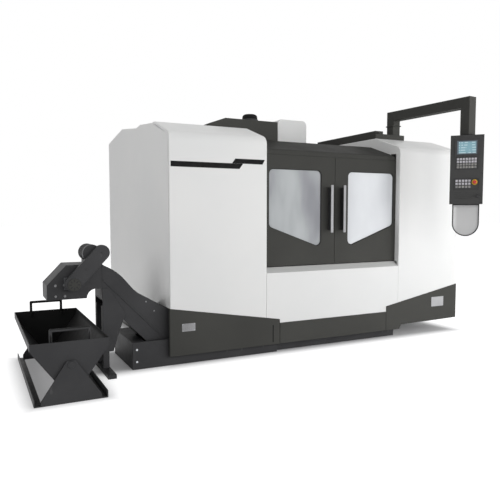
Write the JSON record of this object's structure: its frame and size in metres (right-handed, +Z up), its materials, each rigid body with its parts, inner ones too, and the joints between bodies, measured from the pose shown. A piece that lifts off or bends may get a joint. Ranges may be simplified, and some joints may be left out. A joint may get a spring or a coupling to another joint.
{
  "type": "cnc machining center",
  "caption": "Vertical machining center with sliding doors, moving table and head, swinging pendant, chip conveyor, coolant tank and tipping chip cart.",
  "frame": {"origin": "on the floor under the middle of the whole set", "axes": "+X along the front to the right, +Y to the rear, +Z up"},
  "size_m": [5.2624, 3.6938, 2.85],
  "materials": {
    "white_paint": "satin powder coat",
    "charcoal_paint": "satin powder coat",
    "black_paint": "satin powder coat",
    "grey_paint": "satin paint",
    "cast_paint": "painted casting",
    "ground_steel": "ground",
    "bright_steel": "brushed",
    "belt_steel": "worn",
    "window_glass": "clear",
    "pendant_plastic": "satin",
    "screen_glass": "glossy",
    "key_plastic": "matte",
    "black_plastic": "matte",
    "red_plastic": "glossy"
  },
  "bodies": {
    "machine": {"bed_casting": "cast_paint", "levelling_pads": "ground_steel", "base_frame": "cast_paint", "chip_pans": "grey_paint", "column": "grey_paint", "y_rails": "ground_steel", "z_rails": "ground_steel", "left_front_panel": "white_paint", "right_front_panel": "white_paint", "side_panels": "white_paint", "lower_front_panel": "white_paint", "left_roof": "white_paint", "right_roof": "white_paint", "centre_roof": "charcoal_paint", "rear_panel": "white_paint", "door_header": "charcoal_paint", "door_sill": "grey_paint", "door_rails": "ground_steel", "front_skirts": "charcoal_paint", "side_skirts": "charcoal_paint", "magazine_bracket": "cast_paint", "magazine_cover": "charcoal_paint", "vent_cap": "black_plastic", "boom_base": "charcoal_paint", "coolant_tank": "black_paint", "chip_channel": "black_paint", "conveyor_incline": "black_paint", "conveyor_head": "black_paint", "conveyor_belt": "belt_steel", "conveyor_bearings": "cast_paint", "chain_guard": "black_paint", "gearmotor": "black_paint", "conveyor_leg": "black_paint", "cart_frame": "black_paint", "electrical_cabinet": "white_paint"},
    "left_door": {"left_door": "charcoal_paint", "left_window": "window_glass", "left_handle": "bright_steel", "left_carriages": "ground_steel"},
    "right_door": {"right_door": "charcoal_paint", "right_window": "window_glass", "right_handle": "bright_steel", "right_carriages": "ground_steel"},
    "saddle": {"saddle": "cast_paint", "x_rails": "ground_steel"},
    "table": {"table": "ground_steel"},
    "spindle_head": {"head_casting": "grey_paint", "head_cover": "grey_paint"},
    "spindle": {"spindle": "ground_steel"},
    "magazine": {"magazine_drum": "cast_paint"},
    "boom": {"boom_arm": "charcoal_paint"},
    "pendant": {"pendant_case": "pendant_plastic", "pendant_screen": "screen_glass", "pendant_keys": "key_plastic", "pendant_tray": "grey_paint"},
    "stop_button": {"stop_button": "red_plastic"},
    "feed_knob": {"feed_knob": "black_plastic"},
    "drive_shaft": {"conveyor_shaft": "bright_steel"},
    "cart_bin": {"cart_bin": "black_paint"},
    "cabinet_door": {"cabinet_door": "white_paint"}
  },
  "joints": [
    {"name": "left_door_slide", "type": "slide", "parent": "machine", "child": "left_door", "axis": [-1, 0, 0], "range_m": [0, 0.78]},
    {"name": "right_door_slide", "type": "slide", "parent": "machine", "child": "right_door", "axis": [1, 0, 0], "range_m": [0, 0.78]},
    {"name": "saddle_y", "type": "slide", "parent": "machine", "child": "saddle", "axis": [0, 1, 0], "range_m": [-0.4, 0.4]},
    {"name": "table_x", "type": "slide", "parent": "saddle", "child": "table", "axis": [1, 0, 0], "range_m": [-0.75, 0.75]},
    {"name": "head_z", "type": "slide", "parent": "machine", "child": "spindle_head", "axis": [0, 0, 1], "range_m": [-0.7, 0]},
    {"name": "spindle_turn", "type": "hinge", "parent": "spindle_head", "child": "spindle", "pos_m": [0.73025, 0.0114, 1.81], "axis": [0, 0, 1], "continuous": true},
    {"name": "magazine_turn", "type": "hinge", "parent": "machine", "child": "magazine", "pos_m": [-0.15675, 0.3314, 2.13], "axis": [1, 0, 0], "continuous": true},
    {"name": "boom_swing", "type": "hinge", "parent": "machine", "child": "boom", "pos_m": [2.01525, -0.5186, 2.672], "axis": [0, 0, 1], "range_deg": [-45, 60]},
    {"name": "pendant_swivel", "type": "hinge", "parent": "boom", "child": "pendant", "pos_m": [2.12225, -1.65055, 2.412], "axis": [0, 0, 1], "range_deg": [-90, 90]},
    {"name": "stop_press", "type": "slide", "parent": "pendant", "child": "stop_button", "axis": [0.7501, 0.6613, 0], "range_m": [0, 0.006], "stiffness_N_per_m": 1500, "springref_m": -0.004},
    {"name": "feed_turn", "type": "hinge", "parent": "pendant", "child": "feed_knob", "pos_m": [2.13432, -1.80789, 1.722], "axis": [-0.7501, -0.6613, 0], "range_deg": [-135, 135]},
    {"name": "conveyor_turn", "type": "hinge", "parent": "machine", "child": "drive_shaft", "pos_m": [-2.20475, -0.9686, 0.88], "axis": [0, 1, 0], "continuous": true},
    {"name": "bin_tip", "type": "hinge", "parent": "machine", "child": "cart_bin", "pos_m": [-2.32075, -1.6786, 0.31], "axis": [0, -1, 0], "range_deg": [0, 60]},
    {"name": "cabinet_swing", "type": "hinge", "parent": "machine", "child": "cabinet_door", "pos_m": [2.53925, 1.82165, 0.35], "axis": [0, 0, -1], "range_deg": [0, 110]}
  ]
}
